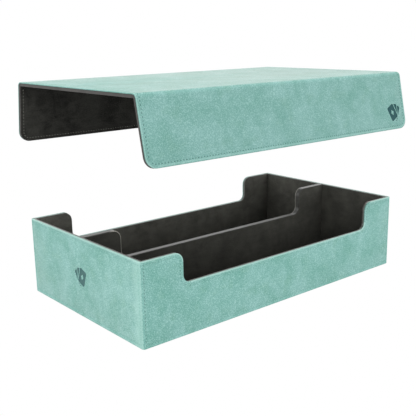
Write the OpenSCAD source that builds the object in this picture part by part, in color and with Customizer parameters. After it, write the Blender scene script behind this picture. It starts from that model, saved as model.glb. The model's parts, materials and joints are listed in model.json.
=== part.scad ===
// Card deck box: an open tray with two card rows, and a lift-off lid with two folding flaps.
// Origin: centre of the tray's underside. X runs along the length, Y across, Z up.
// The lid is drawn lifted above the tray, with its flaps sprung a little outward.

/* [Tray] */
// Outside length of the tray, along X
tray_length = 350; // [330:1:420]
// Outside width of the tray, along Y
tray_width = 200; // [190:1:240]
// Height of the tray walls
tray_height = 80; // [76:1:84]
// Outside radius of the tray's upright corners
corner_radius = 2.5; // [2:0.1:2.7]

/* [Notches] */
// Height of the notch floor above the table
notch_floor = 50; // [50:1:55]
// Length of the raised end on each side of a notch
notch_end = 46; // [30:1:70]
// Radius of the convex corners at the top of a notch
notch_top_radius = 9; // [4:0.5:9]
// Radius of the concave corners at the bottom of a notch
notch_bottom_radius = 8; // [4:0.5:8]

/* [Layers] */
// Thickness of the outer leather
leather_t = 1; // [0.8:0.1:1.2]
// Thickness of the stiff board inside every wall
board_t = 2.2; // [2:0.1:3]
// Thickness of the soft lining
lining_t = 0.8; // [0.5:0.1:1]

/* [Divider] */
// Thickness of the board inside the divider
divider_board_t = 4.8; // [2:0.1:6]
// Distance of the divider behind the middle of the tray
divider_offset = 2.5; // [-10:0.5:10]

/* [Lid] */
// Height of the lid above its closed place
lid_lift = 137.2; // [0:0.1:200]
// Gap between the tray's rim and the lid's lining when closed
lid_gap = 0.5; // [0.3:0.1:1]
// Gap between a tray wall and a flap's lining when closed
flap_gap = 0.6; // [0.4:0.1:1]
// Inside radius of the rolled folds
fold_radius = 1; // [1:0.1:1.6]
// Straight length of a flap below its fold
flap_length = 57; // [55:1:60]
// Outward angle of the front flap from vertical
front_flap_splay = 12; // [0:0.5:60]
// Outward angle of the rear flap from vertical
rear_flap_splay = 8; // [0:0.5:60]
// Radius of the free corners of the flaps
flap_corner_radius = 10; // [4:0.5:15]

/* [Magnets] */
// Diameter of the closing magnets
magnet_d = 10; // [6:1:12]
// Distance of the magnets' middle from a flap's free edge
magnet_inset = 12.5; // [8:0.5:14]
// Distance between neighbouring magnets
magnet_pitch = 90; // [60:1:94]
// Number of magnets in each wall and each flap
magnet_count = 4; // [2:1:4]
// Radial room around each magnet in its pocket
magnet_room = 0.05; // [0.02:0.01:0.1]

/* [Hidden] */
LEATHER = [0.55, 0.77, 0.73];
LINING = [0.19, 0.18, 0.17];
BOARD = [0.42, 0.39, 0.37];
STEEL = [0.75, 0.76, 0.78];

// Sides drawn on every round shape
$fn = 96;

// How far a cutting shape runs past the surface that it cuts
over = 1;

// Half sizes of the tray's nested layers: outside, board outside, board inside, lining inside
half_x = tray_length / 2;
half_y = tray_width / 2;
board_x = half_x - leather_t;
board_y = half_y - leather_t;
lining_x = board_x - board_t;
lining_y = board_y - board_t;
clear_x = lining_x - lining_t;
clear_y = lining_y - lining_t;

// Heights of the layers of the floor
base_top = leather_t;
floor_board_top = base_top + board_t;
floor_top = floor_board_top + lining_t;
notch_half = half_x - notch_end;

// Radii of the rolled fold, from its centre line out
fold_board_radius = fold_radius + lining_t;
fold_leather_radius = fold_board_radius + board_t;

// Centre line of the rear fold, at its closed height and at the height drawn
pivot_y = half_y + flap_gap - fold_radius;
closed_pivot_z = tray_height + lid_gap - fold_radius;
pivot_z = closed_pivot_z + lid_lift;

// Place of the magnets, in the flaps and in the walls that they meet when closed
magnet_below_pivot = flap_length - magnet_inset;
magnet_height = closed_pivot_z - magnet_below_pivot;

// ---- shared shapes ----

// A block given by its low and high corners
module block(low, high) {
    translate(low) cube(high - low);
}

// An XZ outline given a thickness from y = near to y = far
module upright(near, far) {
    translate([0, far, 0]) rotate([90, 0, 0]) linear_extrude(far - near) children();
}

// A YZ outline run along the whole length of the lid
module along_length() {
    rotate([90, 0, 90]) linear_extrude(tray_length, center = true) children();
}

// XZ outline of what a notch takes away: rounded low corners, flared high corners
module notch_outline() {
    low_z = notch_floor + notch_bottom_radius;
    low_x = notch_half - notch_bottom_radius;
    high_z = tray_height - notch_top_radius;
    translate([-notch_half, low_z]) square([2 * notch_half, tray_height + over - low_z]);
    translate([-low_x, notch_floor]) square([2 * low_x, notch_bottom_radius + over]);
    for (side = [-1, 1]) {
        translate([side * low_x, low_z]) circle(r = notch_bottom_radius);
        difference() {
            translate([side * notch_half - (side < 0 ? notch_top_radius : over), high_z])
                square([notch_top_radius + over, notch_top_radius + over]);
            translate([side * (notch_half + notch_top_radius), high_z]) circle(r = notch_top_radius);
        }
    }
}

// A long upright panel with the notch cut into its top edge
module notched_panel(half_length, low, near, far) {
    upright(near, far) difference() {
        translate([-half_length, low]) square([2 * half_length, tray_height - low]);
        notch_outline();
    }
}

// A row of discs across a wall, thick along Y from near to far
module disc_row(radius, near, far, z) {
    for (i = [0 : magnet_count - 1])
        translate([(i - (magnet_count - 1) / 2) * magnet_pitch, far, z])
            rotate([90, 0, 0]) cylinder(r = radius, h = far - near);
}

// ---- tray ----

module outer_wrap() {
    round_x = half_x - corner_radius;
    round_y = half_y - corner_radius;
    color(LEATHER) difference() {
        linear_extrude(tray_height) difference() {
            union() {
                square([2 * half_x, 2 * round_y], center = true);
                square([2 * round_x, 2 * half_y], center = true);
                for (x = [-round_x, round_x], y = [-round_y, round_y])
                    translate([x, y]) circle(r = corner_radius);
            }
            square([2 * board_x, 2 * board_y], center = true);
        }
        upright(-half_y - over, half_y + over) notch_outline();
    }
}

module base_sheet() {
    color(LEATHER) block([-board_x, -board_y, 0], [board_x, board_y, base_top]);
}

module floor_board() {
    color(BOARD) block([-lining_x, -lining_y, base_top], [lining_x, lining_y, floor_board_top]);
}

module floor_lining() {
    color(LINING) block([-lining_x, -lining_y, floor_board_top], [lining_x, lining_y, floor_top]);
}

// Long wall board at the rear, with through pockets for its magnets
module long_wall_board() {
    color(BOARD) difference() {
        notched_panel(board_x, base_top, lining_y, board_y);
        disc_row(magnet_d / 2 + magnet_room, lining_y - over, board_y + over, magnet_height);
    }
}

module end_wall_board() {
    color(BOARD) block([lining_x, -lining_y, base_top], [board_x, lining_y, tray_height]);
}

module long_wall_lining() {
    color(LINING) notched_panel(lining_x, floor_top, clear_y, lining_y);
}

module end_wall_lining() {
    color(LINING) block([clear_x, -clear_y, floor_top], [lining_x, clear_y, tray_height]);
}

module long_wall_magnets() {
    color(STEEL) disc_row(magnet_d / 2, lining_y, board_y, magnet_height);
}

// One layer of the divider, from near to far of its own middle plane
module divider_layer(near, far) {
    notched_panel(clear_x, floor_top, divider_offset + near, divider_offset + far);
}

module divider_board() {
    color(BOARD) divider_layer(-divider_board_t / 2, divider_board_t / 2);
}

// Lining on the rear face of the divider, or the front face when side is -1
module divider_lining(side) {
    inner = side * divider_board_t / 2;
    outer = inner + side * lining_t;
    color(LINING) divider_layer(min(inner, outer), max(inner, outer));
}

// ---- lid ----

// One layer of the flat top, from its height above the fold's centre line
module lid_layer(low, thickness) {
    block([-half_x, -pivot_y, pivot_z + low], [half_x, pivot_y, pivot_z + low + thickness]);
}

// One layer of a rolled fold, a ring sector from a flap at this splay round to the top
module fold_layer(splay, inner, thickness) {
    outer = inner + thickness;
    reach = 2 * outer;
    translate([0, pivot_y, pivot_z]) along_length() intersection() {
        difference() {
            circle(r = outer);
            circle(r = inner);
        }
        polygon([
            [0, 0], reach * [cos(splay), sin(splay)], [reach, reach], [0, reach]
        ]);
    }
}

// Places a flap drawn hanging straight down from its pivot at the origin
module hang_flap(splay) {
    translate([0, pivot_y, pivot_z]) rotate([splay, 0, 0]) children();
}

// One layer of a flap, with rounded free corners
module flap_layer(splay, inner, thickness) {
    round_x = half_x - flap_corner_radius;
    round_z = -flap_length + flap_corner_radius;
    hang_flap(splay) upright(inner, inner + thickness) {
        translate([-half_x, round_z]) square([2 * half_x, -round_z]);
        translate([-round_x, -flap_length]) square([2 * round_x, flap_length]);
        for (x = [-round_x, round_x]) translate([x, round_z]) circle(r = flap_corner_radius);
    }
}

module flap_board(splay) {
    color(BOARD) difference() {
        flap_layer(splay, fold_board_radius, board_t);
        hang_flap(splay) disc_row(magnet_d / 2 + magnet_room, fold_board_radius - over,
            fold_leather_radius + over, -magnet_below_pivot);
    }
}

module flap_magnets(splay) {
    color(STEEL) hang_flap(splay)
        disc_row(magnet_d / 2, fold_board_radius, fold_leather_radius, -magnet_below_pivot);
}

module flap_leather(splay) {
    color(LEATHER) flap_layer(splay, fold_leather_radius, leather_t);
}

module flap_lining(splay) {
    color(LINING) flap_layer(splay, fold_radius, lining_t);
}

module fold_leather(splay) {
    color(LEATHER) fold_layer(splay, fold_leather_radius, leather_t);
}

module fold_board(splay) {
    color(BOARD) fold_layer(splay, fold_board_radius, board_t);
}

module fold_lining(splay) {
    color(LINING) fold_layer(splay, fold_radius, lining_t);
}

// The front half mirrors the rear half
module front() {
    mirror([0, 1, 0]) children();
}

outer_wrap();
base_sheet();
floor_board();
floor_lining();
front() long_wall_board();  // front_wall_board
long_wall_board();  // rear_wall_board
mirror([1, 0, 0]) end_wall_board();  // left_wall_board
end_wall_board();  // right_wall_board
front() long_wall_lining();  // front_lining
long_wall_lining();  // rear_lining
mirror([1, 0, 0]) end_wall_lining();  // left_lining
end_wall_lining();  // right_lining
divider_board();
divider_lining(-1);  // divider_front_lining
divider_lining(1);  // divider_rear_lining
front() long_wall_magnets();  // front_wall_magnets
long_wall_magnets();  // rear_wall_magnets
color(LEATHER) lid_layer(fold_leather_radius, leather_t);  // lid_top_leather
color(BOARD) lid_layer(fold_board_radius, board_t);  // lid_top_board
color(LINING) lid_layer(fold_radius, lining_t);  // lid_top_lining
front() fold_leather(front_flap_splay);  // front_fold_leather
front() fold_board(front_flap_splay);  // front_fold_board
front() fold_lining(front_flap_splay);  // front_fold_lining
fold_leather(rear_flap_splay);  // rear_fold_leather
fold_board(rear_flap_splay);  // rear_fold_board
fold_lining(rear_flap_splay);  // rear_fold_lining
front() flap_leather(front_flap_splay);  // front_flap_leather
front() flap_board(front_flap_splay);  // front_flap_board
front() flap_lining(front_flap_splay);  // front_flap_lining
front() flap_magnets(front_flap_splay);  // front_flap_magnets
flap_leather(rear_flap_splay);  // rear_flap_leather
flap_board(rear_flap_splay);  // rear_flap_board
flap_lining(rear_flap_splay);  // rear_flap_lining
flap_magnets(rear_flap_splay);  // rear_flap_magnets
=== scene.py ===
import bisect
import json
import math

import bmesh
import bpy
from mathutils import Matrix, Vector
from mathutils.geometry import delaunay_2d_cdt


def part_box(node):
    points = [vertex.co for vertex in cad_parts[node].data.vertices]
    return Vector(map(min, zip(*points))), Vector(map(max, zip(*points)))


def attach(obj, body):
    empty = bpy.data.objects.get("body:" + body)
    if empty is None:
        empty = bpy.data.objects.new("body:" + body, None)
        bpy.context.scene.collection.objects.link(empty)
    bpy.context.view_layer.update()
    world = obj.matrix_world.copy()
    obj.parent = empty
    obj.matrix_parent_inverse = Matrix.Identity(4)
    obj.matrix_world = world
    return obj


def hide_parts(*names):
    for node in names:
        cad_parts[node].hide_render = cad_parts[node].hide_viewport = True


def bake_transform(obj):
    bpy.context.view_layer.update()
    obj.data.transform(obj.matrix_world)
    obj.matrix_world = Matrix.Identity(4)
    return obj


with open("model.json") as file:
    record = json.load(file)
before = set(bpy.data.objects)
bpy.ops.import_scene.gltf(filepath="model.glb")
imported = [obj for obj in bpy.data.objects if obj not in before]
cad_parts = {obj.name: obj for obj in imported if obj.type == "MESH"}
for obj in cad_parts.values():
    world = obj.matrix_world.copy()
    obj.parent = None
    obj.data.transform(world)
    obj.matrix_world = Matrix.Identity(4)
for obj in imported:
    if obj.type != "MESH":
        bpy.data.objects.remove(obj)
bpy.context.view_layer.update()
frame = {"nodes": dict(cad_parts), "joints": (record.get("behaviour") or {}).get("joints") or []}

# The looks of a card deck box, built round the imported frame. Everything is in metres, +Z up.
# Each leather, lining and painted edge is drawn flat, as a sheet with a height above its visible
# face, and then laid on its wall, floor or rolled fold by one of the placing functions. Its points
# carry tones for the materials: on sheets the rim, the needle holes, the pressed mark, the end walls'
# lit corners, the flaps' shade and the linings' shade, and on paint the crest. Several are painted
# light: highlight and shade on the rims, painted shade in the needle holes, on the flaps, on the
# linings and in the paint's creases, and painted highlight at the end corners and on the divider's
# ridges.

MM = 0.001

# ---- sizes taken from the frame ----

HALF_X, HALF_Y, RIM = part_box("outer_wrap")[1]
LEATHER_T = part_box("rear_fold_leather")[1].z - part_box("rear_fold_board")[1].z
CLEAR_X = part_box("right_lining")[0].x
CLEAR_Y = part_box("rear_lining")[0].y
LINING_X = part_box("right_lining")[1].x
LINING_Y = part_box("rear_lining")[1].y
LINING_T = LINING_X - CLEAR_X
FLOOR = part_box("floor_lining")[1].z
WALL_T = HALF_X - CLEAR_X
DIVIDER_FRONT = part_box("divider_front_lining")[0].y
DIVIDER_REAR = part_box("divider_rear_lining")[1].y

JOINTS = {joint["name"]: joint for joint in frame["joints"]}
PIVOT_Y, PIVOT_Z = JOINTS["rear_flap_fold"]["pos_m"][1:]
REAR_SPLAY = math.radians(-JOINTS["rear_flap_fold"]["range_deg"][0])
OUTER_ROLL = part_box("lid_top_leather")[1].z - PIVOT_Z
INNER_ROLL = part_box("lid_top_lining")[0].z - PIVOT_Z
REAR_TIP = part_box("rear_flap_lining")[0].z
FLAP_LENGTH = (PIVOT_Z + INNER_ROLL * math.sin(REAR_SPLAY) - REAR_TIP) / math.cos(REAR_SPLAY)

# ---- sizes that no box gives ----

NOTCH_HALF = 129 * MM
NOTCH_FLOOR = 50 * MM
NOTCH_HIGH_ROUND = 9 * MM
NOTCH_LOW_ROUND = 8 * MM
CORNER_ROUND = 2.5 * MM
FLAP_ROUND = 10 * MM

STITCH_PITCH = 3.2 * MM
STITCH_STEP = STITCH_PITCH / 4
STITCH_INSET = 3.4 * MM
STITCH_SLANT = 0.22 * MM
STITCH_RISE = 0.34 * MM
STITCH_SINK = 0.22 * MM
STITCH_CUTS = 6
STITCH_SWELL = 0.6
THREAD_RADIUS = 0.34 * MM
THREAD_END = 0.55
THREAD_FLAT = 0.8
THREAD_SIDES = 8
HOLE_SHARE = 0.48
GROOVE_HALF = 0.8 * MM
GROOVE_DEPTH = 0.16 * MM
HOLE_DEPTH = 0.22 * MM
SOFT_EDGE, SOFT_SHARE = 0.32 * MM, 0.4
STRIP_RISE, STRIP_SHARE = 0.04 * MM, 0.4
LEAST_ROUND = 0.2 * MM
PROUD = 0.25 * MM
SHARP = math.radians(40)
ARC_STEPS = 8
FOLD_STEPS = 14
FOLD_GIVE = 6.4 * MM
GIVE_STEPS = 5


# ---- placing: from flat (u, v, height) to the row frame ----

def on_wall(normal, reach, half_length):
    """A wall that faces along normal at distance reach, with half of each rounded corner at its ends."""
    n = Vector(normal)
    right = Vector((-n.y, n.x, 0))
    flat = half_length - CORNER_ROUND

    def place(u, v, height):
        turn = max(0.0, abs(u) - flat) / CORNER_ROUND
        side = math.copysign(1, u)
        centre = right * (u if turn == 0 else side * flat) + n * (reach - CORNER_ROUND)
        out = n * math.cos(turn) + right * (side * math.sin(turn))
        return centre + out * (CORNER_ROUND + height) + Vector((0, 0, v))

    return place


def on_plane(origin, u_axis, v_axis, normal):
    """A flat sheet."""
    o, u_dir, v_dir, n = (Vector(a) for a in (origin, u_axis, v_axis, normal))

    def place(u, v, height):
        return o + u_dir * u + v_dir * v + n * height

    return place


class Fold:
    """The rolled fold between the lid's top and one flap. A flat v runs from the middle of the top,
    over the roll, where it is measured on the outer leather, and down the flap."""

    def __init__(self, name, side):
        self.name, self.flap, self.side = name, name + "_flap", side
        self.splay = math.radians(-JOINTS[name + "_flap_fold"]["range_deg"][0])
        self.angle = math.pi / 2 - self.splay
        self.start, self.length = PIVOT_Y, OUTER_ROLL * self.angle
        self.tip = self.start + self.length + FLAP_LENGTH
        self.lines = [self.start + self.length * k / FOLD_STEPS for k in range(FOLD_STEPS + 1)]
        give = [FOLD_GIVE * k / GIVE_STEPS for k in range(1, GIVE_STEPS + 1)]
        self.creases = [self.start - g for g in reversed(give)] + self.lines
        self.creases += [self.lines[-1] + g for g in give]
        self.corners = [(HALF_X, 0, 0), (HALF_X, self.tip, FLAP_ROUND), (-HALF_X, self.tip, FLAP_ROUND),
                        (-HALF_X, 0, 0)]

    def place(self, radius, outward):
        """radius is the sheet's distance from the fold's centre line, and outward is 1 if the visible
        face is the outer one."""

        def lay(u, v, height):
            r = radius + outward * height
            turn = min(max(v - self.start, 0.0) / self.length, 1.0) * self.angle
            down = max(v - self.start - self.length, 0.0)
            y = min(v, self.start) + r * math.sin(turn) + down * math.sin(self.splay)
            z = PIVOT_Z + r * math.cos(turn) - down * math.cos(self.splay)
            return Vector((u, self.side * y, z))

        return lay

    def bend(self, piece):
        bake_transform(piece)


# ---- outlines ----

def contour(corners, insets, closed, trim=0.0):
    """Points along a right-angled path of corners (u, v, radius), with each edge moved to its left by
    its own inset. The number of points doesn't depend on the insets. trim shortens an open path."""
    count = len(corners)
    edges = count if closed else count - 1
    spots = [Vector(c[:2]) for c in corners]
    ways = [spots[(i + 1) % count] - spots[i] for i in range(edges)]
    lengths = [w.length for w in ways]
    ways = [w.normalized() for w in ways]
    lefts = [Vector((-w.y, w.x)) for w in ways]
    arcs = []
    for i, (spot, corner) in enumerate(zip(spots, corners)):
        before = (i - 1) % edges if closed or i > 0 else None
        after = i if closed or i < edges else None
        if before is None or after is None:
            edge = after if before is None else before
            push = trim if before is None else -trim
            point = spot + lefts[edge] * insets[edge] + ways[edge] * push
            arcs.append([point])
            continue
        point = spot + lefts[before] * insets[before] + lefts[after] * insets[after]
        radius = corner[2]
        if radius == 0:
            arcs.append([point])
            continue
        convex = ways[before].cross(ways[after]) > 0
        radius = max(radius - insets[after], LEAST_ROUND) if convex else radius + insets[after]
        centre = point - ways[before] * radius + ways[after] * radius
        arcs.append([
            centre - ways[after] * radius * math.cos(a) + ways[before] * radius * math.sin(a)
            for a in (math.pi / 2 * k / ARC_STEPS for k in range(ARC_STEPS + 1))
        ])
    points, edge_of = [], []
    for i in range(edges):
        j = (i + 1) % count
        straight = lengths[i] - corners[i][2] - corners[j][2]
        steps = max(1, round(straight / STITCH_STEP))
        start, end = arcs[i][-1], arcs[j][0]
        run = arcs[i] + [start.lerp(end, k / steps) for k in range(1, steps)]
        points += run
        edge_of += [i] * len(run)
    if not closed:
        points += arcs[-1]
        edge_of += [edges - 1] * len(arcs[-1])
    return points, edge_of


def run_lengths(points, closed):
    """Distance of each point along a path, and the whole length."""
    far, total = [0.0], 0.0
    for a, b in zip(points, points[1:]):
        total += (b - a).length
        far.append(total)
    if closed:
        total += (points[0] - points[-1]).length
    return far, total


# ---- sheets ----

# Rim tones of an edge, from its cut side to the brink of the stitched groove: 1 palest, -1 darkest.
# They are partly the leather's own paler cut edge and margin and partly painted light: painted
# highlight on edges that face up, brightest in TOP_EDGE, and painted shade on the cut sides of the
# hems and the lid's ends.
CUT, ARRIS, STRIP, BRINK = range(4)
PLAIN_EDGE = (-0.3, 0.6, 0.08, 0.0)
TOP_EDGE = (1.0, 1.0, 0.2, 0.05)
NOTCH_SIDE = (0.1, 0.25, 0.1, 0.0)
TRAY_HEM = (-1.0, -0.3, 0.0, 0.0)
LID_HEM = (-1.0, -0.5, 0.5, 0.22)


class Sheet:
    """A closed solid sheet, built flat ring by ring from its back edge to its middle."""

    def __init__(self, corners, closed, thickness, seams=(), proud=(), tones=(), holes=()):
        """seams are the edges where the sheet runs on round a corner, and proud are the edges that stand
        a little higher than the outline. tones and holes give, for single edges, how pale the rim is and
        how dark the needle holes are: rim tones that are partly painted highlight and shade, and painted
        shade in the holes."""
        self.corners, self.closed, self.thickness = corners, closed, thickness
        self.edges = len(corners) if closed else len(corners) - 1
        self.seams, self.proud = set(seams), set(proud)
        self.tones, self.hole_shades = dict(tones), dict(holes)
        self.mesh = bmesh.new()
        self.rim = self.mesh.verts.layers.float.new("rim")
        self.hole = self.mesh.verts.layers.float.new("hole")
        self.pressed = self.mesh.verts.layers.float.new("pressed")
        self.last = None
        self.last_insets = None

    def insets(self, rim, seam=None):
        ordinary = [rim - PROUD if e in self.proud else rim for e in range(self.edges)]
        return [seam if e in self.seams and seam is not None else o for e, o in enumerate(ordinary)]

    def ring(self, insets, height, part=None, groove=0.0):
        """One ring of points. part says which of an edge's rim tones it takes, and groove is the depth
        added at each needle hole along it."""
        points, edge_of = contour(self.corners, insets, self.closed)
        far, total = run_lengths(points, self.closed)
        stitches = max(1, round(total / STITCH_PITCH))
        verts = []
        for p, s, e in zip(points, far, edge_of):
            wave = 0.5 + 0.5 * math.cos(2 * math.pi * stitches * s / total) if groove else 0.0
            v = self.mesh.verts.new((p.x, p.y, height - groove * wave))
            tones = self.tones.get(e, PLAIN_EDGE)
            v[self.rim] = 0.0 if e in self.seams or part is None else tones[part]
            # Painted shade in the needle holes, deepest at each hole.
            v[self.hole] = wave * self.hole_shades.get(e, 1.0)
            verts.append(v)
        if self.last:
            pairs = len(verts) if self.closed else len(verts) - 1
            for i in range(pairs):
                e = edge_of[i]
                if e in self.seams and insets[e] == 0 and self.last_insets[e] == 0:
                    continue
                j = (i + 1) % len(verts)
                self.mesh.faces.new((self.last[i], self.last[j], verts[j], verts[i]))
        self.last, self.last_insets = verts, insets
        return verts

    def fill(self, loop, mark=None):
        """Fills a loop of points, with the mark cut out and pressed in."""
        flat = [v.co.xy for v in loop]
        lines = [(i, (i + 1) % len(flat)) for i in range(len(flat))]
        for outline in mark.outlines() if mark else ():
            first = len(flat)
            flat += outline
            lines += [(first + i, first + (i + 1) % len(outline)) for i in range(len(outline))]
        points, _, faces, sources, _, _ = delaunay_2d_cdt(flat, lines, [], 1, 1e-9)
        height = loop[0].co.z
        verts = []
        for p, source in zip(points, sources):
            known = [s for s in source if s < len(loop)]
            verts.append(loop[known[0]] if known else self.mesh.verts.new((p.x, p.y, height)))
        pressed = []
        for f in faces:
            corners = [verts[i] for i in f]
            middle = sum((c.co.xy for c in corners), Vector((0, 0))) / len(corners)
            face = self.mesh.faces.new(corners)
            if mark and mark.pressed(middle):
                pressed.append(face)
        if pressed:
            grown = bmesh.ops.extrude_face_region(self.mesh, geom=pressed)["geom"]
            bmesh.ops.delete(self.mesh, geom=pressed, context="FACES_ONLY")
            for v in (g for g in grown if isinstance(g, bmesh.types.BMVert)):
                v.co.z -= MARK_DEPTH
                v[self.pressed] = mark.tone

    def build(self, stitch=None, mark=None):
        """Back, soft outer edge, stitched groove if stitch gives its (rim, seam) insets, and middle."""
        t, e = self.thickness, min(SOFT_EDGE, self.thickness * SOFT_SHARE)
        diagonal = e * (1 - math.sqrt(0.5))
        back = self.ring(self.insets(0), -t, CUT)
        self.ring(self.insets(0), -e, CUT)
        self.ring(self.insets(diagonal, 0), -diagonal, ARRIS)
        self.ring(self.insets(e, 0), 0, ARRIS)
        if stitch:
            rim, seam = stitch
            self.ring(self.insets(rim * STRIP_SHARE, seam * STRIP_SHARE), STRIP_RISE, STRIP)
            self.ring(self.insets(rim - GROOVE_HALF, seam - GROOVE_HALF), 0, BRINK)
            middle = self.insets(rim, seam)
            self.ring(middle, -GROOVE_DEPTH, None, HOLE_DEPTH)
            self.path = contour(self.corners, middle, self.closed)[0]
            self.ring(self.insets(rim + GROOVE_HALF, seam + GROOVE_HALF), 0)
        self.fill(self.last, mark)
        self.fill(back)
        return self

    def cut(self, point, normal):
        """Cuts every face along a plane, so that the sheet can bend or change tone there."""
        cut_mesh(self.mesh, point, normal)

    def cut_across(self, places):
        """Cuts every face along lines of constant v."""
        for v in places:
            self.cut((0, v, 0), (0, 1, 0))

    def lay(self, place, shift=(0.0, 0.0)):
        """Stores the flat coordinates for the materials and moves the sheet to its place. shift is added
        to the stored ones only, and picks the part of the noise that the sheet shows."""
        cloth = self.mesh.verts.layers.float_vector.new("sheet")
        for v in self.mesh.verts:
            u, w, h = v.co
            v[cloth] = Vector((u + shift[0], w + shift[1], h))
            v.co = place(u, w, h)
        return self.mesh


def cut_mesh(mesh, point, normal):
    everything = mesh.verts[:] + mesh.edges[:] + mesh.faces[:]
    bmesh.ops.bisect_plane(mesh, geom=everything, dist=1e-7, plane_co=point, plane_no=normal)


def object_from(name, *meshes, merge=False):
    """One object from one or more laid sheets."""
    whole = bmesh.new()
    for part in meshes:
        copy = bpy.data.meshes.new("part")
        part.to_mesh(copy)
        part.free()
        whole.from_mesh(copy)
        bpy.data.meshes.remove(copy)
    if merge:
        bmesh.ops.remove_doubles(whole, verts=whole.verts[:], dist=1e-6)
    bmesh.ops.recalc_face_normals(whole, faces=whole.faces[:])
    mesh = bpy.data.meshes.new(name)
    whole.to_mesh(mesh)
    whole.free()
    mesh.shade_smooth()
    mesh.set_sharp_from_angle(angle=SHARP)
    piece = bpy.data.objects.new(name, mesh)
    bpy.context.scene.collection.objects.link(piece)
    return piece


# ---- edge paint and thread ----

PAINT_BULGE = 0.06 * MM
BULGE_STEPS = 7
PAINT_TUCK = 0.1 * MM
CREASE_DEPTH, CREASE_END = 0.14 * MM, 0.45 * MM
ARRIS_START, ARRIS_TURN, ARRIS_LAP = 0.3 * MM, 0.05 * MM, 0.3 * MM
LIP = 1.0 * MM
LIP_CLEAR, LIP_FADE = 2 * MM, 4 * MM
WRAP, WRAP_LIFT = 0.85 * MM, 0.02 * MM
RIDGE_CENTRE = 0.42 * MM
RIDGE_ROUND = 0.55 * MM
RIDGE_STEPS = 6
EDGE_BULGE, EDGE_REACH = 0.07 * MM, 1.2 * MM


def turned(p):
    """Tone of the tray's lip at a flat point. It ends at the upright sides of a notch."""
    past = abs(abs(p.x) - NOTCH_HALF) - LIP_CLEAR
    return 1.0 - min(max(past / LIP_FADE, 0.0), 1.0)


def painted_edge(low, high, lip=0.0):
    """Profile of edge paint from under the leather to the lining's face, as (inset, depth, tone) rows:
    a crease, a lip where the leather is turned over the edge, a low bulge, and a rounded arris that
    turns a little over the face. Low tones take the crease colour, which is painted shade on the lid
    and the divider and the leather's turned lip on the tray."""
    crease = turned if lip else 0.0
    rows = [(PAINT_TUCK, low, crease), (-0.3 * PAINT_BULGE, low + CREASE_DEPTH, crease)]
    if lip:
        rows.append((-0.6 * PAINT_BULGE, low + lip - PAINT_TUCK, turned))
    first = low + lip
    rows.append((-0.6 * PAINT_BULGE, first + (0.0 if lip else CREASE_END), 0.3))
    for k in range(2, BULGE_STEPS - 1):
        bulge = math.sin(math.pi * k / BULGE_STEPS)
        rows.append((-PAINT_BULGE * bulge, first + (high - first) * k / BULGE_STEPS, 1.0))
    return rows + [(-0.6 * PAINT_BULGE, high - ARRIS_START, 0.9), (0.0, high - ARRIS_TURN, 0.8),
                   (ARRIS_LAP, high + ARRIS_TURN, 0.8)]


def wrapped_edge(low, high, near, far):
    """Profile of edge paint that turns over both faces, with a rounded ridge along each arris. near and
    far give the tone of each ridge at a flat point. The rows where the paint meets each face take the
    crease colour, a painted shade, and ridge tones above 1 are a painted highlight."""

    def half(face, inward, tone):
        """Rows from one face, over its ridge, to the flat of the edge."""
        rows = [(WRAP, face - inward * WRAP_LIFT, 0.2)]
        for k in range(RIDGE_STEPS + 1):
            a = math.pi / 2 * k / RIDGE_STEPS
            depth = RIDGE_CENTRE - RIDGE_ROUND * math.cos(a)
            rows.append((RIDGE_CENTRE - RIDGE_ROUND * math.sin(a), face + inward * depth, tone))
        return rows + [(-EDGE_BULGE, face + inward * EDGE_REACH, 1.0)]

    return half(low, 1, near) + half(high, -1, far)[::-1]


def film(corners, closed, profile, mitre, place, seams_open):
    """A film of edge paint along a path. profile rows give the inset, the depth under the sheet's face
    and the tone. mitre shortens an open path by the depth, to meet the next wall's, and seams_open
    leaves its ends without a face."""
    mesh = bmesh.new()
    crest = mesh.verts.layers.float.new("crest")
    cloth = mesh.verts.layers.float_vector.new("sheet")
    rows = []
    for inset, depth, tone in profile:
        insets = [inset] * (len(corners) if closed else len(corners) - 1)
        points, _ = contour(corners, insets, closed, depth if mitre else 0.0)
        row = []
        for p in points:
            v = mesh.verts.new(place(p.x, p.y, -depth))
            v[cloth] = Vector((p.x, p.y, -depth))
            v[crest] = tone(p) if callable(tone) else tone
            row.append(v)
        rows.append(row)
    length = len(rows[0])
    for a, b in zip(rows, rows[1:] + rows[:1]):
        for i in range(length if closed else length - 1):
            j = (i + 1) % length
            mesh.faces.new((a[i], a[j], b[j], b[i]))
    if not closed and not seams_open:
        mesh.faces.new([row[0] for row in rows])
        mesh.faces.new([row[-1] for row in reversed(rows)])
    return mesh


def along(loop, far, s):
    """The point at distance s along a path, and the direction there. far is each point's distance."""
    at = min(max(bisect.bisect_left(far, s) - 1, 0), len(far) - 2)
    span = max(far[at + 1] - far[at], 1e-9)
    way = loop[at + 1] - loop[at]
    return loop[at] + way * ((s - far[at]) / span), way.normalized()


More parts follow.
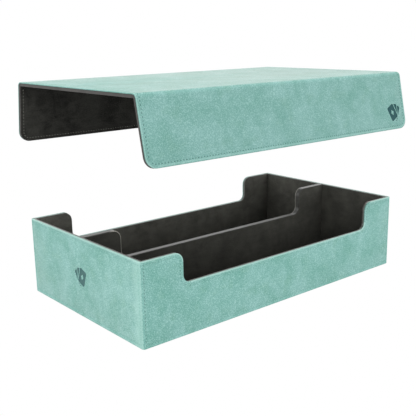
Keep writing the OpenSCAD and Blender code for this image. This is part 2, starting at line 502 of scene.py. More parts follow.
def thread(path, closed, place, height, skip=None):
    """A row of short stitches along a path of flat points, dipping into a hole at each end. skip says
    at which points a stitch is left out."""
    far, total = run_lengths(path, closed)
    count = max(1, round(total / STITCH_PITCH))
    pitch = total / count
    loop = path + path[:1] if closed else path
    far = far + [total] if closed else far
    mesh = bmesh.new()
    cloth = mesh.verts.layers.float_vector.new("sheet")

    def section(start, share, spot, way):
        """One ring of a stitch, at this share of its length."""
        across = Vector((-way.y, way.x))
        rise = math.sin(math.pi * share) ** STITCH_SWELL
        slant = (share - 0.5) * STITCH_SLANT
        radius = THREAD_RADIUS * (THREAD_END + (1 - THREAD_END) * rise)
        row = []
        for side in range(THREAD_SIDES):
            a = 2 * math.pi * side / THREAD_SIDES
            flat = spot + across * (slant + radius * math.cos(a))
            lift = rise * STITCH_RISE + radius * THREAD_FLAT * math.sin(a) - STITCH_SINK
            v = mesh.verts.new(place(flat.x, flat.y, height + lift))
            v[cloth] = Vector((start + share * pitch, a * THREAD_RADIUS, slant))
            row.append(v)
        return row

    for i in range(count):
        shares = [k / STITCH_CUTS for k in range(STITCH_CUTS + 1)]
        spots = [along(loop, far, (i + HOLE_SHARE / 2 + (1 - HOLE_SHARE) * k) * pitch) for k in shares]
        if skip and any(skip(spot) for spot, _ in spots):
            continue
        rows = [section(i * pitch, share, *spot) for share, spot in zip(shares, spots)]
        for a, b in zip(rows, rows[1:]):
            for side in range(THREAD_SIDES):
                mesh.faces.new((a[side], a[side - 1], b[side - 1], b[side]))
        mesh.faces.new(rows[0])
        mesh.faces.new(rows[-1][::-1])
    return mesh


# ---- materials ----

def linear(rgb):
    """Linear colour from an 8-bit display colour."""
    return [((c / 255 + 0.055) / 1.055) ** 2.4 if c > 10 else c / 255 / 12.92 for c in rgb] + [1.0]


def put(node, inputs):
    """Gives a node its inputs, each a socket to link or a plain value."""
    for key, given in inputs.items():
        if isinstance(given, bpy.types.NodeSocket):
            node.id_data.links.new(given, node.inputs[key])
        else:
            node.inputs[key].default_value = given


class Surface:
    """A material under construction: a Principled shader and helpers that add nodes before it."""

    def __init__(self, name):
        self.material = bpy.data.materials.new(name)
        self.material.use_nodes = True
        self.tree = self.material.node_tree
        self.tree.nodes.clear()
        self.shader = self.add("ShaderNodeBsdfPrincipled")
        put(self.add("ShaderNodeOutputMaterial"), {"Surface": self.shader.outputs["BSDF"]})

    def add(self, kind, **settings):
        node = self.tree.nodes.new(kind)
        for key, value in settings.items():
            setattr(node, key, value)
        return node

    def value(self, name):
        """One of the tones that a sheet's points carry."""
        return self.add("ShaderNodeAttribute", attribute_name=name).outputs["Fac"]

    def sheet(self, stretch=(1, 1, 1)):
        """The flat coordinates of a sheet, each multiplied by its stretch."""
        place = self.add("ShaderNodeAttribute", attribute_name="sheet").outputs["Vector"]
        scaled = self.add("ShaderNodeVectorMath", operation="MULTIPLY")
        put(scaled, {0: place, 1: stretch})
        return scaled.outputs["Vector"]

    def noise(self, where, scale, detail=3.0, rough=0.5, swirl=0.0):
        node = self.add("ShaderNodeTexNoise")
        put(node, {"Vector": where, "Scale": scale, "Detail": detail, "Roughness": rough,
                   "Distortion": swirl})
        return node.outputs["Fac"]

    def grain(self, where, scale):
        node = self.add("ShaderNodeTexVoronoi", feature="F1")
        put(node, {"Vector": where, "Scale": scale, "Randomness": 1.0})
        return node.outputs["Distance"]

    def spread(self, value, low, high, to_low=0.0, to_high=1.0):
        """Takes a value smoothly from one range to another."""
        node = self.add("ShaderNodeMapRange", interpolation_type="SMOOTHSTEP")
        put(node, {"Value": value, "From Min": low, "From Max": high, "To Min": to_low,
                   "To Max": to_high})
        return node.outputs["Result"]

    def sum(self, *terms):
        """Sum of (value, weight) pairs."""
        total = 0.0
        for value, weight in terms:
            node = self.add("ShaderNodeMath", operation="MULTIPLY_ADD")
            put(node, {0: value, 1: weight, 2: total})
            total = node.outputs["Value"]
        return total

    def mix(self, share, a, b):
        """Colour a turning to colour b. Each is a colour or a socket, and share a number or a socket."""
        node = self.add("ShaderNodeMix", data_type="RGBA", blend_type="MIX")
        put(node, {0: share, 6: a, 7: b})
        return node.outputs[2]

    def finish(self, colour, rough, bumps, specular=0.5, sheen=()):
        """bumps are (height socket, strength, distance) from coarse to fine, and sheen is its weight,
        roughness and tint."""
        sheens = zip(("Sheen Weight", "Sheen Roughness", "Sheen Tint"), sheen)
        put(self.shader, {"Base Color": colour, "Roughness": rough, "Specular IOR Level": specular,
                          **dict(sheens)})
        normal = {}
        for height, strength, distance in bumps:
            bump = self.add("ShaderNodeBump")
            put(bump, {"Strength": strength, "Distance": distance, "Height": height, **normal})
            normal = {"Normal": bump.outputs["Normal"]}
        put(self.shader, normal)
        return self.material


def mint_leather():
    """Brushed synthetic nubuck: cloudy two-tone patches, a fine grain and a paler cut edge, with painted
    light: highlight and shade along the rims, shade in the needle holes and on the flaps, and a lit
    corner on the end walls.
    """
    s = Surface("mint_leather")
    where = s.sheet()
    clouds = s.noise(s.sheet((1.0, 0.7, 1.0)), 42, detail=2.5, rough=0.5, swirl=0.5)
    patches = s.noise(where, 120, detail=2, rough=0.5, swirl=0.3)
    brushed = s.noise(s.sheet((0.2, 1.0, 1.0)), 420, detail=2)
    upright = s.noise(s.sheet((1.0, 0.2, 1.0)), 420, detail=2)
    speckle = s.noise(where, 980, detail=2.5, rough=0.75)
    fine = s.grain(where, 1100)
    tone = s.sum((clouds, 1.0), (patches, 0.36), (brushed, 0.12), (upright, 0.12))
    share = s.spread(tone, 0.5, 1.12)
    colour = s.mix(share, linear((106, 168, 156)), linear((142, 194, 189)))
    greenish = s.spread(s.noise(where, 70, detail=2), 0.52, 0.72, 0.0, 0.4)
    colour = s.mix(greenish, colour, linear((112, 170, 150)))
    grain = s.sum((speckle, 0.75), (fine, 0.45))
    colour = s.mix(s.spread(grain, 0.42, 0.78, 0.46, 0.0), colour, linear((76, 136, 124)))
    colour = s.mix(s.spread(grain, 0.5, 0.86, 0.0, 0.44), colour, linear((176, 218, 210)))
    # Painted shade: the flaps are greyed a little against the top.
    colour = s.mix(s.sum((s.value("flap_shade"), 0.2)), colour, linear((114, 142, 142)))
    # Painted light: the end walls grow paler towards their front corners.
    end_lit = s.sum((s.value("paler"), 1.0), (speckle, 0.6), (patches, 0.5))
    colour = s.mix(s.spread(end_lit, 0.55, 1.4, 0.0, 0.5), colour, linear((176, 220, 210)))
    # Painted highlight and painted shade along the rims, over the leather's own paler cut edge.
    colour = s.mix(s.spread(s.value("rim"), 0.1, 1.0, 0.0, 0.78), colour, linear((178, 220, 210)))
    colour = s.mix(s.spread(s.value("rim"), -1.0, 0.0, 0.45, 0.0), colour, linear((70, 122, 112)))
    # Painted shade in the needle holes.
    colour = s.mix(s.spread(s.value("hole"), 0.2, 0.8, 0.0, 0.85), colour, linear((36, 84, 82)))
    colour = s.mix(s.sum((s.value("pressed"), 1.0)), colour, linear((0, 75, 78)))
    rough = s.spread(tone, 0.5, 1.1, 0.78, 0.62)
    return s.finish(colour, rough, [
        (clouds, 0.25, 0.4 * MM), (speckle, 0.5, 0.25 * MM), (fine, 0.4, 0.12 * MM),
    ], specular=0.45, sheen=(0.52, 0.33, linear((252, 245, 241))))


def suede(name, dark, light, fluff):
    """Short-nap suede with faint brushed patches, darkened by painted shade where a lining stores it
    and in the needle holes. fluff is the strength of the nap's own light and dark."""
    s = Surface(name)
    where = s.sheet()
    patches = s.noise(s.sheet((1.0, 0.7, 1.0)), 38, detail=4, rough=0.6, swirl=0.8)
    strokes = s.noise(s.sheet((0.5, 1.0, 1.0)), 160, detail=3, rough=0.6)
    nap = s.noise(where, 1100, detail=3, rough=0.7)
    tone = s.sum((patches, 0.6), (strokes, 0.3), (nap, fluff))
    middle = 0.45 + fluff / 2
    share = s.spread(tone, middle - 0.25, middle + 0.25)
    colour = s.mix(share, linear(dark), linear(light))
    # Painted shade stored on the lining's points darkens it towards near black.
    colour = s.mix(s.sum((s.value("painted_shade"), 0.5)), colour, linear((22, 22, 20)))
    # Painted shade in the needle holes.
    colour = s.mix(s.spread(s.value("hole"), 0.3, 1.0, 0.0, 0.6), colour, linear((12, 12, 12)))
    return s.finish(colour, 0.92, [(nap, 0.5, 0.25 * MM), (strokes, 0.2, 0.3 * MM)],
                    specular=0.2, sheen=(0.15, 0.5, linear((150, 148, 140))))


def edge_paint(name, dark, light, coat, crease, highlight_colour):
    """Painted cut edge: warm grey, with a crease colour where the crest tone is low and a highlight
    colour where it is above 1. The crease colour is painted shade on the lid and the divider and the
    leather's turned lip on the tray; the highlight colour is a painted highlight.
    """
    s = Surface(name)
    where = s.sheet()
    flow = s.noise(where, 120, detail=3)
    fleck = s.noise(where, 900, detail=2)
    share = s.spread(s.sum((flow, 0.7), (fleck, 0.3)), 0.35, 0.65)
    colour = s.mix(share, linear(dark), linear(light))
    # The crease colour: painted shade on the lid and the divider, the turned leather lip on the tray.
    colour = s.mix(s.spread(s.value("crest"), 0.1, 0.9, 1.0, 0.0), colour, linear(crease))
    # Painted highlight where the crest tone is above 1.
    colour = s.mix(s.spread(s.value("crest"), 1.0, 2.2, 0.0, 1.0), colour, linear(highlight_colour))
    put(s.shader, {"Coat Weight": coat, "Coat Roughness": 0.34})
    return s.finish(colour, s.spread(fleck, 0.3, 0.7, 0.45, 0.55), [(flow, 0.25, 0.3 * MM),
                    (fleck, 0.2, 0.08 * MM)], specular=0.4)


def sewing_thread(name, dark, light):
    """Twisted thread: slanted plies along each stitch."""
    s = Surface(name)
    twist = s.add("ShaderNodeTexWave", wave_type="BANDS", bands_direction="DIAGONAL")
    put(twist, {"Vector": s.sheet(), "Scale": 420, "Distortion": 0.4})
    plies = twist.outputs["Fac"]
    fuzz = s.noise(s.sheet(), 2600, detail=2)
    colour = s.mix(s.sum((plies, 0.6), (fuzz, 0.4)), linear(dark), linear(light))
    return s.finish(colour, 0.75, [(plies, 0.5, 0.12 * MM)], specular=0.35)


def grey_board():
    """Uncoated grey board: short fibres and flecks."""
    s = Surface("grey_board")
    where = s.add("ShaderNodeTexCoord").outputs["Object"]
    fibres = s.noise(where, 700, detail=5, rough=0.7, swirl=1.5)
    flecks = s.spread(s.noise(where, 1900, detail=2), 0.6, 0.7)
    colour = s.mix(fibres, linear((96, 90, 84)), linear((140, 133, 124)))
    colour = s.mix(s.sum((flecks, 0.4)), colour, linear((60, 56, 52)))
    return s.finish(colour, 0.95, [(fibres, 0.4, 0.15 * MM)], specular=0.2)


def plated_steel():
    """Nickel-plated magnet discs with fine rolling marks."""
    s = Surface("plated_steel")
    where = s.add("ShaderNodeTexCoord").outputs["Object"]
    lines = s.noise(where, 1200, detail=3)
    colour = s.mix(lines, linear((178, 180, 184)), linear((206, 207, 210)))
    put(s.shader, {"Metallic": 1.0})
    return s.finish(colour, s.spread(lines, 0.3, 0.7, 0.22, 0.36), [(lines, 0.15, 0.03 * MM)])


LEATHER = mint_leather()
# The tray's and the lid's linings are one suede, drawn as lit and shaded copies: the tray's colours are
# painted lighter and the lid's darker, as painted light and shade for the light that reaches each.
LIT_TRAY_SUEDE = suede("tray_suede_lit", (82, 82, 77), (122, 122, 114), 0.7)
SHADED_LID_SUEDE = suede("lid_suede_shaded", (18, 18, 17), (66, 66, 62), 1.1)
# The three edge paints are one paint in lit and shaded copies: their colours differ as painted light and
# shade for how light falls on the tray's rim, the divider and the lid.
TRAY_PAINT = edge_paint("tray_edge_paint", (76, 76, 72), (94, 93, 88), 0.35, (172, 206, 197),
                        (150, 150, 140))
DIVIDER_PAINT = edge_paint("divider_edge_paint", (64, 65, 61), (81, 82, 77), 0.75, (20, 19, 18),
                           (186, 184, 174))
LID_PAINT = edge_paint("lid_edge_paint", (51, 49, 47), (66, 64, 61), 0.15, (20, 19, 18),
                       (120, 118, 110))
THREAD = sewing_thread("mint_thread", (112, 168, 158), (160, 208, 198))
GREY_THREAD = sewing_thread("grey_thread", (104, 104, 98), (150, 150, 142))
BOARD = grey_board()
STEEL = plated_steel()


def dress(piece, material, stands_for=(), body=None):
    """Gives a piece its material and slot, and its body if one is given."""
    piece.data.materials.clear()
    piece.data.materials.append(material)
    if stands_for:
        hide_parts(*stands_for)
    if body:
        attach(piece, body)


# ---- the pressed mark: a fan of three cards ----

CARD_W, CARD_H, CARD_ROUND = 11.5 * MM, 16.5 * MM, 1.6 * MM
CARD_GAP = 0.9 * MM
FAN_ANGLES = [math.radians(a) for a in (-26, 0, 26)]
CARD_CENTRE = Vector((0, 5.5 * MM))
CARD_ARC_STEPS = 4
PIP_W, PIP_H = 4.6 * MM, 6.4 * MM
MARK_DEPTH = 0.35 * MM


class FanMark:
    """Three cards fanned about a point near their lower edges, CARD_CENTRE below the middle of each. The
    last card lies on top and carries a pip."""

    def __init__(self, centre, tilt, tone=1.0):
        """centre is the point that the fan turns about, and tone is how strongly the leather is darkened
        where it is pressed."""
        self.centre, self.tilt, self.tone = Vector(centre), tilt, tone

    def to_card(self, point, angle):
        """A flat point in one card's own frame, which from_card undoes."""
        turned = Matrix.Rotation(angle + self.tilt, 2) @ (point - self.centre)
        return turned - CARD_CENTRE

    def inside(self, point, angle, grow):
        """Whether a point lies on a card that is made larger by grow."""
        p = self.to_card(point, angle)
        x = max(abs(p.x) - CARD_W / 2 + CARD_ROUND, 0)
        y = max(abs(p.y) - CARD_H / 2 + CARD_ROUND, 0)
        return math.hypot(x, y) <= CARD_ROUND + grow

    def in_pip(self, point):
        p = self.to_card(point, FAN_ANGLES[-1])
        return abs(p.x) / (PIP_W / 2) + abs(p.y) / (PIP_H / 2) <= 1

    def pressed(self, point):
        """Whether a point is pressed in. Cards lie on those before them, with a gap between."""
        for k in reversed(range(len(FAN_ANGLES))):
            if self.inside(point, FAN_ANGLES[k], 0):
                return not (k == len(FAN_ANGLES) - 1 and self.in_pip(point))
            if self.inside(point, FAN_ANGLES[k], CARD_GAP):
                return False
        return False

    def from_card(self, p, angle):
        back = Matrix.Rotation(-angle - self.tilt, 2)
        return back @ (p + CARD_CENTRE) + self.centre

    def card(self, angle, grow):
        """Outline of one card, made larger by grow."""
        loop = []
        for sx, sy, first in ((1, 1, 0), (-1, 1, 90), (-1, -1, 180), (1, -1, 270)):
            for step in range(CARD_ARC_STEPS + 1):
                a = math.radians(first + 90 * step / CARD_ARC_STEPS)
                r = CARD_ROUND + grow
                p = Vector((sx * (CARD_W / 2 - CARD_ROUND) + r * math.cos(a),
                            sy * (CARD_H / 2 - CARD_ROUND) + r * math.sin(a)))
                loop.append(self.from_card(p, angle))
        return loop

    def outlines(self):
        """Every line that the mark is cut along. All cards but the first have a gap round them."""
        loops = []
        for k, angle in enumerate(FAN_ANGLES):
            loops += [self.card(angle, grow) for grow in ((0, CARD_GAP) if k else (0,))]
        pip = [Vector((PIP_W / 2, 0)), Vector((0, PIP_H / 2)), Vector((-PIP_W / 2, 0)),
               Vector((0, -PIP_H / 2))]
        loops.append([self.from_card(p, FAN_ANGLES[-1]) for p in pip])
        return loops


# ---- tray ----

def wall_corners(half_length, low, notched):
    """Outline of a wall, counter-clockwise from its low left corner."""
    corners = [(-half_length, low, 0), (half_length, low, 0), (half_length, RIM, 0)]
    if notched:
        corners += [(NOTCH_HALF, RIM, NOTCH_HIGH_ROUND), (NOTCH_HALF, NOTCH_FLOOR, NOTCH_LOW_ROUND),
                    (-NOTCH_HALF, NOTCH_FLOOR, NOTCH_LOW_ROUND), (-NOTCH_HALF, RIM, NOTCH_HIGH_ROUND)]
    return corners + [(-half_length, RIM, 0)]


WALLS = {
    "front": ((0, -1, 0), HALF_Y, HALF_X, True),
    "right": ((1, 0, 0), HALF_X, HALF_Y, False),
    "rear": ((0, 1, 0), HALF_Y, HALF_X, True),
    "left": ((-1, 0, 0), HALF_X, HALF_Y, False),
}
HALF_ARC = CORNER_ROUND * math.pi / 4
BEND_CUTS = 4
BOTTOM, NOTCH_SIDES = 0, (3, 5)

# How much painted shade darkens the needle holes: on an end wall, and along each edge of a notched wall.
END_HOLE_SHADE = 0.35
NOTCHED_HOLE_SHADES = (0.55, 0.3, 0.6, 0.8, 0.45, 0.8, 0.6, 0.85)

# The end walls' front corners are paler as painted light: how far the painted highlight along the
# corner and the broad painted brightening across the wall reach, and how pale each is.
CORNER_LIGHT, CORNER_LIGHT_SHARE = 13 * MM, 0.65
WALL_LIGHT, WALL_LIGHT_SHARE = 120 * MM, 0.35
LIGHT_CUTS = 4

WALL_MARK = (-1.0 * MM, 36 * MM)
WALL_MARK_TILT = math.radians(-6)
WALL_MARK_TONE = 0.85


def tray_leather():
    """The outer leather of all four walls, the stitching along its edges and the pressed mark."""
    skins, threads = [], []
    start = 0.0
    for name, (normal, reach, half, notched) in WALLS.items():
        length = half - CORNER_ROUND + HALF_ARC
        corners = wall_corners(length, 0, notched)
        seams = (1, len(corners) - 1)
        tones = {e: TOP_EDGE for e in range(2, len(corners) - 1)}
        tones[BOTTOM] = TRAY_HEM
        if notched:
            tones.update((e, NOTCH_SIDE) for e in NOTCH_SIDES)
        holes = dict(enumerate(NOTCHED_HOLE_SHADES if notched else [END_HOLE_SHADE] * len(corners)))
        sheet = Sheet(corners, True, LEATHER_T, seams, range(2, len(corners) - 1), tones, holes)
        mark = FanMark(WALL_MARK, WALL_MARK_TILT, WALL_MARK_TONE) if name == "left" else None
        sheet.build((STITCH_INSET, STITCH_INSET - CORNER_ROUND + HALF_ARC), mark)
        place = on_wall(normal, reach, half)
        threads.append(thread(sheet.path, True, place, -GROOVE_DEPTH))
        bend_corners(sheet, half - CORNER_ROUND)
        if not notched:
            light_end_corner(sheet, length, 1 if name == "left" else -1)
        skins.append(sheet.lay(place, (start + length, 0)))
        start += 2 * length
    leather = object_from("tray_leather", *skins, merge=True)
    dress(leather, LEATHER, ("outer_wrap",), "tray")
    sewn = object_from("tray_stitches", *threads)
    dress(sewn, THREAD, (), "tray")


def bend_corners(sheet, flat):
    """Cuts a wall's sheet along upright lines through its rounded ends."""
    for side in (-1, 1):
        for k in range(BEND_CUTS):
            sheet.cut((side * (flat + HALF_ARC * k / BEND_CUTS), 0, 0), (1, 0, 0))


def light_end_corner(sheet, length, side):
    """Makes an end wall paler towards its upright corner on one side, as painted light."""
    for reach in [CORNER_LIGHT * k / LIGHT_CUTS for k in range(1, LIGHT_CUTS + 1)] + [WALL_LIGHT]:
        sheet.cut((side * (length - reach), 0, 0), (1, 0, 0))
    paler = sheet.mesh.verts.layers.float.new("paler")
    for v in sheet.mesh.verts:
        away = length - side * v.co.x
        corner_lit, wall_lit = max(0.0, 1 - away / CORNER_LIGHT), max(0.0, 1 - away / WALL_LIGHT)
        v[paler] = CORNER_LIGHT_SHARE * corner_lit + WALL_LIGHT_SHARE * wall_lit


def base_leather():
    """The sheet under the tray."""
    low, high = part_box("base_sheet")
    corners = [(-high.x, -high.y, 0), (high.x, -high.y, 0), (high.x, high.y, 0), (-high.x, high.y, 0)]
    sheet = Sheet(corners, True, high.z - low.z).build()
    place = on_plane((0, 0, 0), (1, 0, 0), (0, -1, 0), (0, 0, -1))
    base = object_from("base_leather", sheet.lay(place))
    dress(base, LEATHER, ("base_sheet",), "tray")


# How much painted shade darkens each lining: its own amount, and the change of it along the sheet.
# FALL is the further painted shade from the rim down to the table.
LINING_SHADES = {"front": (0.4, 0.0), "right": (0.4, 0.42), "rear": (0.2, 0.0), "left": (0.4, 0.0)}
LINING_FALL = 0.75
DIVIDER_SHADE, DIVIDER_LEAN, DIVIDER_FALL = 1.0, 0.25, 0.45
FLOOR_SHADE = 1.2


def paint_lining_shade(sheet, shade, lean=0.0, fall=0.0):
    """Paints shade on a lining: by its shade, by lean along the sheet and by fall down it."""
    painted_shade = sheet.mesh.verts.layers.float.new("painted_shade")
    for v in sheet.mesh.verts:
        v[painted_shade] = shade + lean * v.co.x / HALF_Y + fall * (1 - v.co.y / RIM)


def linings():
    """The suede inside the walls and on the floor."""
    for name, (normal, reach, half, notched) in WALLS.items():
        across = LINING_X if notched else CLEAR_Y
        away = CLEAR_Y if notched else CLEAR_X
        n = Vector(normal)
        place = on_plane(n * away, (n.y, -n.x, 0), (0, 0, 1), -n)
        sheet = Sheet(wall_corners(across, FLOOR, notched), True, LINING_T).build()
        paint_lining_shade(sheet, *LINING_SHADES[name], LINING_FALL)
        piece = object_from(name + "_lining_suede", sheet.lay(place, (half * 3, 0.2)))
        dress(piece, LIT_TRAY_SUEDE, (name + "_lining",), "tray")
    corners = [(-LINING_X, -LINING_Y, 0), (LINING_X, -LINING_Y, 0), (LINING_X, LINING_Y, 0),
               (-LINING_X, LINING_Y, 0)]
    sheet = Sheet(corners, True, LINING_T).build()
    paint_lining_shade(sheet, FLOOR_SHADE)
    place = on_plane((0, 0, FLOOR), (1, 0, 0), (0, 1, 0), (0, 0, 1))
    piece = object_from("floor_lining_suede", sheet.lay(place))
    dress(piece, LIT_TRAY_SUEDE, ("floor_lining",), "tray")


# Painted highlight on the divider's ridges: how far it reaches round each step, how strong it is low
# down and how much it rises towards the top.
RIDGE_HIGHLIGHT_REACH, RIDGE_HIGHLIGHT_FADE = 14 * MM, 5 * MM
RIDGE_HIGHLIGHT_LOW, RIDGE_HIGHLIGHT_RISE = 0.7, 0.5


def ridge_highlight(side):
    """Tone of a ridge with a painted highlight round the step on one side, most at the top."""

    def tone(p):
        close = min(max((RIDGE_HIGHLIGHT_REACH - abs(p.x - side * NOTCH_HALF)) / RIDGE_HIGHLIGHT_FADE, 0.0), 1.0)
        high = (p.y - NOTCH_FLOOR) / (RIM - NOTCH_FLOOR)
        return 1.0 + close * (RIDGE_HIGHLIGHT_LOW + RIDGE_HIGHLIGHT_RISE * high)

    return tone


def divider():
    """Suede on both faces of the divider and the paint on its edge."""
    corners = wall_corners(CLEAR_X, FLOOR, True)
    for side, y, node in ((-1, DIVIDER_FRONT, "divider_front_lining"),
                          (1, DIVIDER_REAR, "divider_rear_lining")):
        place = on_plane((0, y, 0), (-side, 0, 0), (0, 0, 1), (0, side, 0))
        sheet = Sheet(corners, True, LINING_T).build()
        paint_lining_shade(sheet, DIVIDER_SHADE, DIVIDER_LEAN * side, DIVIDER_FALL)
        piece = object_from(node + "_suede", sheet.lay(place, (0.4 * side, 0.5)))
        dress(piece, LIT_TRAY_SUEDE, (node,), "tray")
    place = on_plane((0, DIVIDER_FRONT, 0), (1, 0, 0), (0, 0, 1), (0, -1, 0))
    profile = wrapped_edge(0, DIVIDER_REAR - DIVIDER_FRONT, ridge_highlight(-1), ridge_highlight(1))
    paint = film(corners[2:], False, profile, False, place, False)
    dress(object_from("divider_edge_paint", paint), DIVIDER_PAINT, (), "tray")


def tray_paint():
    """The paint on the cut edges of the boards and linings, round the whole rim."""
    parts = []
    for normal, reach, half, notched in WALLS.values():
        n = Vector(normal)
        place = on_plane(n * reach, (-n.y, n.x, 0), (0, 0, 1), n)
        path = wall_corners(half, 0, notched)[2:]
        profile = painted_edge(LEATHER_T, WALL_T, LIP)
        parts.append(film(path, False, profile, True, place, True))
    dress(object_from("tray_edge_paint", *parts, merge=True), TRAY_PAINT, (), "tray")


# ---- lid ----

FLAP_MARK_FROM_END, FLAP_MARK_FROM_TIP = 19 * MM, 13 * MM


def lid_leather(fold):
    """The outer leather of one half of the lid, from the middle of the top to the flap's edge, its
    stitches and, on the front flap, the pressed mark."""
    front = fold.side < 0
    leather = Sheet(fold.corners, False, LEATHER_T, proud=range(3), tones={1: LID_HEM})
    spot = (HALF_X - FLAP_MARK_FROM_END, fold.tip - FLAP_MARK_FROM_TIP)
    leather.build((STITCH_INSET, 0), FanMark(spot, math.pi) if front else None)
    path = leather.path
    outer = fold.place(OUTER_ROLL, 1)
    leather.cut_across(fold.creases)
    # Painted shade: the leather is greyed from the roll down the flap, against the top, for the light
    # that falls on it.
    flap_shade = leather.mesh.verts.layers.float.new("flap_shade")
    for v in leather.mesh.verts:
        v[flap_shade] = min(max((v.co.y - fold.start) / fold.length, 0.0), 1.0)
    piece = object_from("lid_leather_" + fold.name, leather.lay(outer, (fold.side, 0)))
    top = ["lid_top_leather"] if front else []
    dress(piece, LEATHER, [fold.name + "_fold_leather", fold.flap + "_leather"] + top)
    fold.bend(piece)
    sewn = object_from("lid_stitches_" + fold.name, thread(path, False, outer, -GROOVE_DEPTH))
    dress(sewn, THREAD)
    fold.bend(sewn)


def lid_lining(fold):
    """The suede of one half of the lid, and its stitches, which stop at the roll."""
    lining = Sheet(fold.corners, False, LINING_T).build((STITCH_INSET, 0))
    path = lining.path
    inner = fold.place(INNER_ROLL, -1)
    lining.cut_across(fold.creases)
    piece = object_from("lid_lining_" + fold.name, lining.lay(inner, (2 * fold.side, 1)))
    top = ["lid_top_lining"] if fold.side < 0 else []
    dress(piece, SHADED_LID_SUEDE, [fold.name + "_fold_lining", fold.flap + "_lining"] + top)
    fold.bend(piece)

    def in_roll(p):
        return abs(p.y - fold.start - fold.length / 2) < fold.length / 2 + STITCH_PITCH / 4

    stitches = thread(path, False, inner, -GROOVE_DEPTH, in_roll)
    sewn = object_from("lid_lining_stitches_" + fold.name, stitches)
    dress(sewn, GREY_THREAD)
    fold.bend(sewn)


def fold_core(fold):
    """The creased board strip inside the roll."""
    low, high = fold.lines[0], fold.lines[-1]
    corners = [(HALF_X, low, 0), (HALF_X, high, 0), (-HALF_X, high, 0), (-HALF_X, low, 0)]
    outside = OUTER_ROLL - LEATHER_T
    core = Sheet(corners, True, outside - INNER_ROLL - LINING_T).build()
    core.cut_across(fold.lines[1:-1])
    piece = object_from(fold.name + "_fold_core", core.lay(fold.place(outside, 1)))
    dress(piece, BOARD, [fold.name + "_fold_board"])
    fold.bend(piece)


def lid_paint(fold):
    """The paint on the cut edges of one half of the lid."""
    profile = painted_edge(LEATHER_T, OUTER_ROLL - INNER_ROLL)
    paint = film(fold.corners, False, profile, False, lambda u, v, h: Vector((u, v, h)), False)
    for v in fold.creases:
        cut_mesh(paint, (0, v, 0), (0, 1, 0))
    outer = fold.place(OUTER_ROLL, 1)
    for v in paint.verts:
        v.co = outer(*v.co)
    piece = object_from("lid_edge_paint_" + fold.name, paint)
    dress(piece, LID_PAINT)
    fold.bend(piece)


def hidden_parts():
    """The boards and magnets inside keep their CAD shapes."""
    for name, node in frame["nodes"].items():
        if "board" in name or "magnets" in name:
            for slot in node.material_slots:
                slot.material = BOARD if "board" in name else STEEL


# ---- studio ----

SKY_BELOW, SKY_HORIZON, SKY_ABOVE = 0.95, 1.0, 1.3
SKY_STOPS = ((0.30, SKY_BELOW), (0.46, SKY_HORIZON), (0.55, SKY_HORIZON), (0.9, SKY_ABOVE))

FLOOR_SIZE = 6
FLOOR_DROP = 0.05 * MM

KEY_POWER, KEY_SIZE = 3.0, 1.2
KEY_PLACE, KEY_TARGET = Vector((-1.55, -0.5, 1.3)), Vector((0, 0, 0.1))

CAMERA_AZIMUTH, CAMERA_ELEVATION, CAMERA_ROLL = (math.radians(a) for a in (-39.98, 14.06, -0.96))
CAMERA_TARGET = Vector((-16.0 * MM, -0.8 * MM, 82.1 * MM))
CAMERA_DISTANCE = 766.0 * MM
CAMERA_LENS, CAMERA_SENSOR = 61.05, 36


def sky():
    """Even white surroundings, brighter overhead."""
    world = bpy.data.worlds.new("studio")
    bpy.context.scene.world = world
    world.use_nodes = True
    tree = world.node_tree
    direction = tree.nodes.new("ShaderNodeTexCoord").outputs["Generated"]
    split = tree.nodes.new("ShaderNodeSeparateXYZ")
    put(split, {"Vector": direction})
    shift = tree.nodes.new("ShaderNodeMapRange")
    put(shift, {"From Min": -1.0, "Value": split.outputs["Z"]})
    strength = tree.nodes.new("ShaderNodeValToRGB")
    put(strength, {"Fac": shift.outputs["Result"]})
    stops = strength.color_ramp.elements
    stops[0].position, stops[1].position = SKY_STOPS[0][0], SKY_STOPS[1][0]
    for position, _ in SKY_STOPS[2:]:
        stops.new(position)
    for stop, (_, level) in zip(stops, SKY_STOPS):
        stop.color = (level / SKY_ABOVE, level / SKY_ABOVE, level / SKY_ABOVE, 1)
    put(tree.nodes["Background"], {"Color": strength.outputs["Color"], "Strength": SKY_ABOVE})


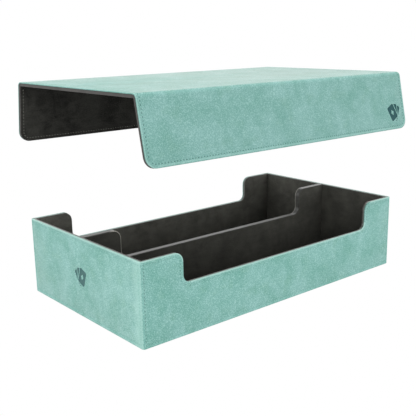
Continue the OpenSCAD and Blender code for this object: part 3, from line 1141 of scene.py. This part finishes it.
def pale_floor():
    """A self-lit white floor that takes no shadow and throws no light."""
    grid = bmesh.new()
    bmesh.ops.create_grid(grid, x_segments=4, y_segments=4, size=FLOOR_SIZE)
    mesh = bpy.data.meshes.new("floor")
    grid.to_mesh(mesh)
    grid.free()
    floor = bpy.data.objects.new("floor", mesh)
    floor.location.z = -FLOOR_DROP
    bpy.context.scene.collection.objects.link(floor)
    pale = bpy.data.materials.new("pale_floor")
    pale.use_nodes = True
    put(pale.node_tree.nodes["Principled BSDF"], {
        "Base Color": (0, 0, 0, 1), "Roughness": 1.0, "Specular IOR Level": 0.0,
        "Emission Color": (1, 1, 1, 1), "Emission Strength": 1.0,
    })
    floor.data.materials.append(pale)
    floor.visible_diffuse = False
    floor.visible_glossy = False


def soft_key():
    """One large soft light from the left."""
    light = bpy.data.lights.new("soft_key", "AREA")
    light.energy, light.size = KEY_POWER, KEY_SIZE
    lamp = bpy.data.objects.new("soft_key", light)
    lamp.location = KEY_PLACE
    lamp.rotation_euler = (KEY_TARGET - KEY_PLACE).to_track_quat("-Z", "Y").to_euler()
    bpy.context.scene.collection.objects.link(lamp)


def camera():
    """The camera at the photograph's angle."""
    level = math.cos(CAMERA_ELEVATION)
    back = Vector((math.sin(CAMERA_AZIMUTH) * level, -math.cos(CAMERA_AZIMUTH) * level,
                   math.sin(CAMERA_ELEVATION)))
    eye = bpy.data.objects.new("camera", bpy.data.cameras.new("camera"))
    eye.data.sensor_width = CAMERA_SENSOR
    eye.data.lens = CAMERA_LENS
    eye.location = CAMERA_TARGET + back * CAMERA_DISTANCE
    aim = (-back).to_track_quat("-Z", "Y").to_matrix()
    eye.rotation_euler = (aim @ Matrix.Rotation(CAMERA_ROLL, 3, "Z")).to_euler()
    bpy.context.scene.collection.objects.link(eye)
    bpy.context.scene.camera = eye


def studio():
    """Pale floor, even white surroundings, one large soft light and the camera."""
    bpy.context.scene.view_settings.view_transform = "Standard"
    sky()
    pale_floor()
    soft_key()
    camera()


tray_leather()
base_leather()
linings()
divider()
tray_paint()
for one_fold in (Fold("front", -1), Fold("rear", 1)):
    lid_leather(one_fold)
    lid_lining(one_fold)
    fold_core(one_fold)
    lid_paint(one_fold)
hidden_parts()
studio()
